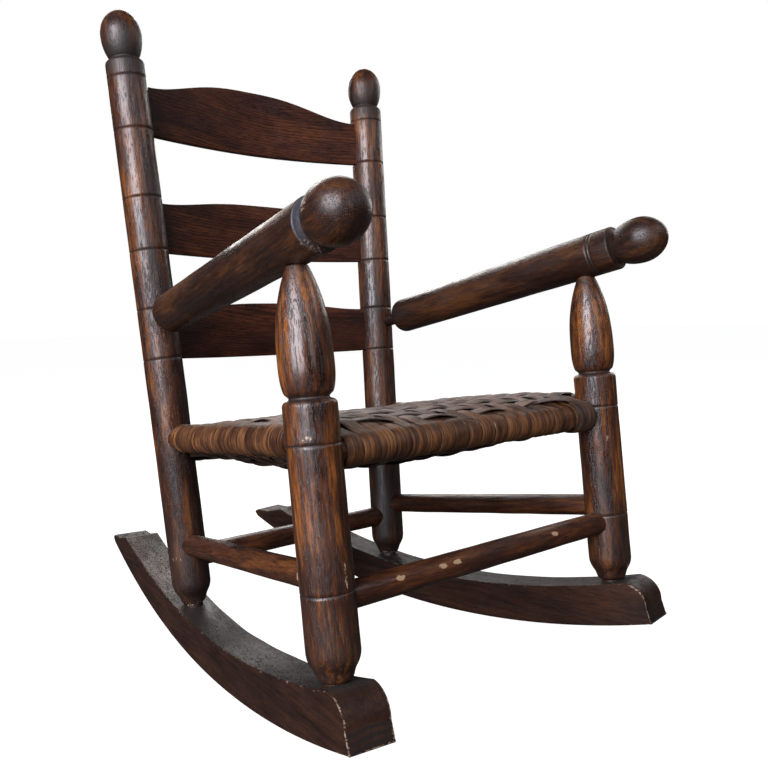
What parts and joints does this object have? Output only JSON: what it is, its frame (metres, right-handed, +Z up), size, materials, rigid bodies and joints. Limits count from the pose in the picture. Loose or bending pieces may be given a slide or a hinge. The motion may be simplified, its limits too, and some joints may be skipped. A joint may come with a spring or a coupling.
{
  "type": "child's rocking chair",
  "caption": "Child's ladder-back rocking chair with turned posts and knob-ended arms, bowed slats, a woven splint seat and curved rockers.",
  "frame": {"origin": "on the floor, under the middle of the chair's bounding box, with the chair standing at rest on its rockers", "axes": "+Z up, the chair faces -Y, +X is to the right for someone who looks at the chair's front"},
  "size_m": [0.4305, 0.5739, 0.6584],
  "materials": {
    "dark_stained_oak": "dark brown stain under aged satin varnish",
    "red_brown_slat_oak": "dark red-brown stain under aged satin varnish",
    "worn_rocker_oak": "dark brown stain, worn dull, pale along its edges",
    "aged_ash_splint": "flat woven splint, aged brown, lightly varnished"
  },
  "bodies": {
    "root": {"arm_left": "dark_stained_oak", "arm_right": "dark_stained_oak", "back_post_left": "dark_stained_oak", "back_post_right": "dark_stained_oak", "front_post_left": "dark_stained_oak", "front_post_right": "dark_stained_oak", "rocker_left": "worn_rocker_oak", "rocker_right": "worn_rocker_oak", "seat_rail_back": "dark_stained_oak", "seat_rail_front": "dark_stained_oak", "seat_rail_left": "dark_stained_oak", "seat_rail_right": "dark_stained_oak", "seat_warp": "aged_ash_splint", "seat_weft": "aged_ash_splint", "slat_bottom": "red_brown_slat_oak", "slat_middle": "red_brown_slat_oak", "slat_top": "red_brown_slat_oak", "stretcher_back": "dark_stained_oak", "stretcher_front": "dark_stained_oak", "stretcher_left": "dark_stained_oak", "stretcher_right": "dark_stained_oak"}
  },
  "joints": []
}
